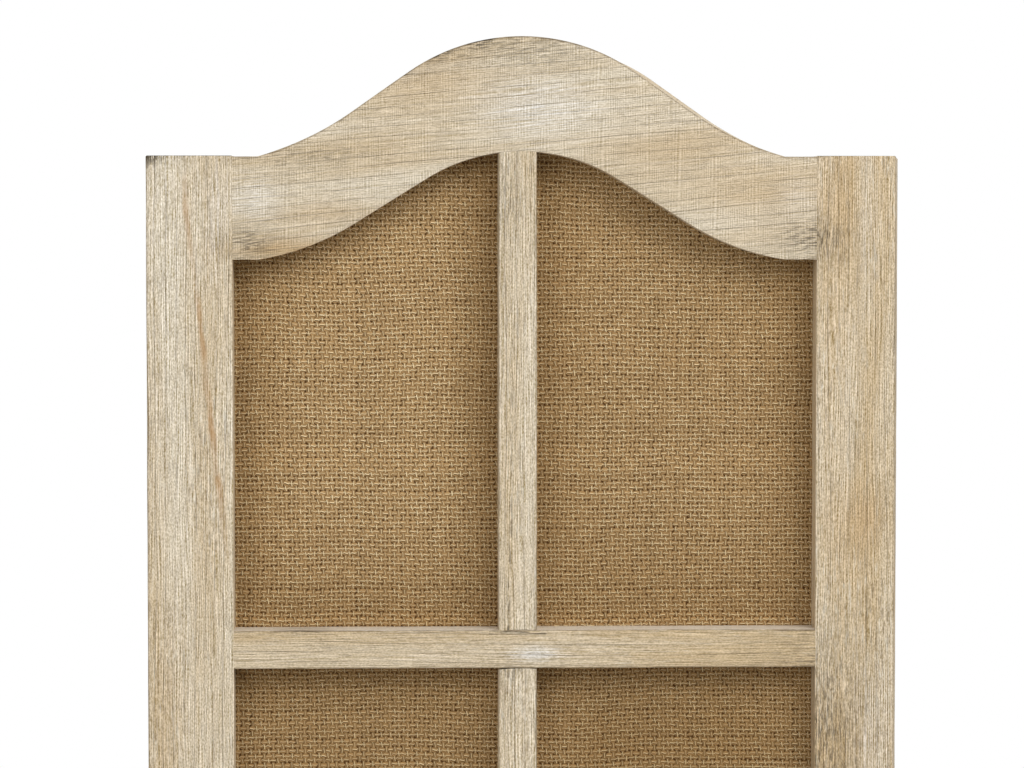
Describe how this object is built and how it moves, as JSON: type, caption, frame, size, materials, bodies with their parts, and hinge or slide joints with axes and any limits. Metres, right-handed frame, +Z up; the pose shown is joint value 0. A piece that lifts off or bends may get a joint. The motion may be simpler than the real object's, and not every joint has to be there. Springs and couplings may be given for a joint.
{
  "type": "fabric folding screen",
  "caption": "Free-standing folding room screen: arched whitewashed wooden panels with a grid of bars in front of burlap, joined edge to edge by butt hinges.",
  "frame": {"origin": "on the floor, in the middle of the standing screen's outline", "axes": "+Z up; the front panel faces -Y with its width along X; the other panels fold behind it"},
  "size_m": [0.3572, 0.3632, 1.65],
  "materials": {
    "whitewashed_wood": "whitewashed and rubbed back, rough sawn, worn edges",
    "bead_wood": "whitewashed, plain",
    "burlap": "natural jute plain weave",
    "hinge_steel": "zinc plated",
    "screw_steel": "zinc plated",
    "brad_steel": "bright"
  },
  "bodies": {
    "front_panel": {"front_panel_bead_brads": "brad_steel", "front_panel_bottom_bead": "bead_wood", "front_panel_bottom_rail": "whitewashed_wood", "front_panel_burlap": "burlap", "front_panel_crest_bead": "bead_wood", "front_panel_crest_rail": "whitewashed_wood", "front_panel_crossbar_1": "whitewashed_wood", "front_panel_crossbar_2": "whitewashed_wood", "front_panel_crossbar_3": "whitewashed_wood", "front_panel_crossbar_4": "whitewashed_wood", "front_panel_crossbar_5": "whitewashed_wood", "front_panel_hinge_screws": "screw_steel", "front_panel_left_bead": "bead_wood", "front_panel_left_stile": "whitewashed_wood", "front_panel_mullion": "whitewashed_wood", "front_panel_right_bead": "bead_wood", "front_panel_right_stile": "whitewashed_wood", "first_hinge_fixed_leaves": "hinge_steel", "first_hinge_pins": "hinge_steel"},
    "middle_panel": {"middle_panel_bead_brads": "brad_steel", "middle_panel_bottom_bead": "bead_wood", "middle_panel_bottom_rail": "whitewashed_wood", "middle_panel_burlap": "burlap", "middle_panel_crest_bead": "bead_wood", "middle_panel_crest_rail": "whitewashed_wood", "middle_panel_crossbar_1": "whitewashed_wood", "middle_panel_crossbar_2": "whitewashed_wood", "middle_panel_crossbar_3": "whitewashed_wood", "middle_panel_crossbar_4": "whitewashed_wood", "middle_panel_crossbar_5": "whitewashed_wood", "middle_panel_hinge_screws": "screw_steel", "middle_panel_left_bead": "bead_wood", "middle_panel_left_stile": "whitewashed_wood", "middle_panel_mullion": "whitewashed_wood", "middle_panel_right_bead": "bead_wood", "middle_panel_right_stile": "whitewashed_wood", "first_hinge_swing_leaves": "hinge_steel", "second_hinge_fixed_leaves": "hinge_steel", "second_hinge_pins": "hinge_steel"},
    "rear_panel": {"rear_panel_bead_brads": "brad_steel", "rear_panel_bottom_bead": "bead_wood", "rear_panel_bottom_rail": "whitewashed_wood", "rear_panel_burlap": "burlap", "rear_panel_crest_bead": "bead_wood", "rear_panel_crest_rail": "whitewashed_wood", "rear_panel_crossbar_1": "whitewashed_wood", "rear_panel_crossbar_2": "whitewashed_wood", "rear_panel_crossbar_3": "whitewashed_wood", "rear_panel_crossbar_4": "whitewashed_wood", "rear_panel_crossbar_5": "whitewashed_wood", "rear_panel_hinge_screws": "screw_steel", "rear_panel_left_bead": "bead_wood", "rear_panel_left_stile": "whitewashed_wood", "rear_panel_mullion": "whitewashed_wood", "rear_panel_right_bead": "bead_wood", "rear_panel_right_stile": "whitewashed_wood", "second_hinge_swing_leaves": "hinge_steel"}
  },
  "joints": [
    {"name": "first_fold", "type": "hinge", "parent": "front_panel", "child": "middle_panel", "pos_m": [0.17323, -0.15843, 0.76], "axis": [0, 0, 1], "range_deg": [-162, 18]},
    {"name": "second_fold", "type": "hinge", "parent": "middle_panel", "child": "rear_panel", "pos_m": [-0.1549, -0.02405, 0.76], "axis": [0, 0, 1], "range_deg": [-50, 130]}
  ]
}
